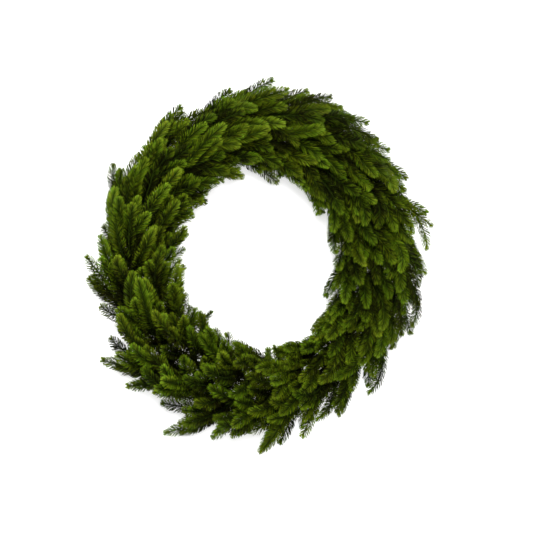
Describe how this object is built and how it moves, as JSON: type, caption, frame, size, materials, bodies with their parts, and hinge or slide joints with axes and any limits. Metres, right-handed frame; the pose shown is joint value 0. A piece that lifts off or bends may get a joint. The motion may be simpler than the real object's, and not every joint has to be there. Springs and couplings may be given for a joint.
{
  "type": "fresh evergreen wreath",
  "caption": "Round wreath of short-needled evergreen sprays, lapped clockwise and clamped in bunches to a flat wire ring, with an open middle.",
  "frame": {"origin": "centre of the part's bounding box in plan, on the flat underside that it rests on", "axes": "+Z out of the wreath's front, +Y towards the top of the wreath as it hangs in the picture, +X to the picture's right"},
  "size_m": [0.6244, 0.6266, 0.1314],
  "materials": {
    "ring_wire": "satin",
    "fir_foliage": "satin"
  },
  "bodies": {
    "root": {"wire_ring_frame": "ring_wire", "spray_01_outer": "fir_foliage", "spray_01_front_outer": "fir_foliage", "spray_01_front_inner": "fir_foliage", "spray_01_inner": "fir_foliage", "spray_02_outer": "fir_foliage", "spray_02_front_outer": "fir_foliage", "spray_02_front_inner": "fir_foliage", "spray_02_inner": "fir_foliage", "spray_03_outer": "fir_foliage", "spray_03_front_outer": "fir_foliage", "spray_03_front_inner": "fir_foliage", "spray_03_inner": "fir_foliage", "spray_04_outer": "fir_foliage", "spray_04_front_outer": "fir_foliage", "spray_04_front_inner": "fir_foliage", "spray_04_inner": "fir_foliage", "spray_05_outer": "fir_foliage", "spray_05_front_outer": "fir_foliage", "spray_05_front_inner": "fir_foliage", "spray_05_inner": "fir_foliage", "spray_06_outer": "fir_foliage", "spray_06_front_outer": "fir_foliage", "spray_06_front_inner": "fir_foliage", "spray_06_inner": "fir_foliage", "spray_07_outer": "fir_foliage", "spray_07_front_outer": "fir_foliage", "spray_07_front_inner": "fir_foliage", "spray_07_inner": "fir_foliage", "spray_08_outer": "fir_foliage", "spray_08_front_outer": "fir_foliage", "spray_08_front_inner": "fir_foliage", "spray_08_inner": "fir_foliage", "spray_09_outer": "fir_foliage", "spray_09_front_outer": "fir_foliage", "spray_09_front_inner": "fir_foliage", "spray_09_inner": "fir_foliage", "spray_10_outer": "fir_foliage", "spray_10_front_outer": "fir_foliage", "spray_10_front_inner": "fir_foliage", "spray_10_inner": "fir_foliage", "spray_11_outer": "fir_foliage", "spray_11_front_outer": "fir_foliage", "spray_11_front_inner": "fir_foliage", "spray_11_inner": "fir_foliage", "spray_12_outer": "fir_foliage", "spray_12_front_outer": "fir_foliage", "spray_12_front_inner": "fir_foliage", "spray_12_inner": "fir_foliage"}
  },
  "joints": []
}
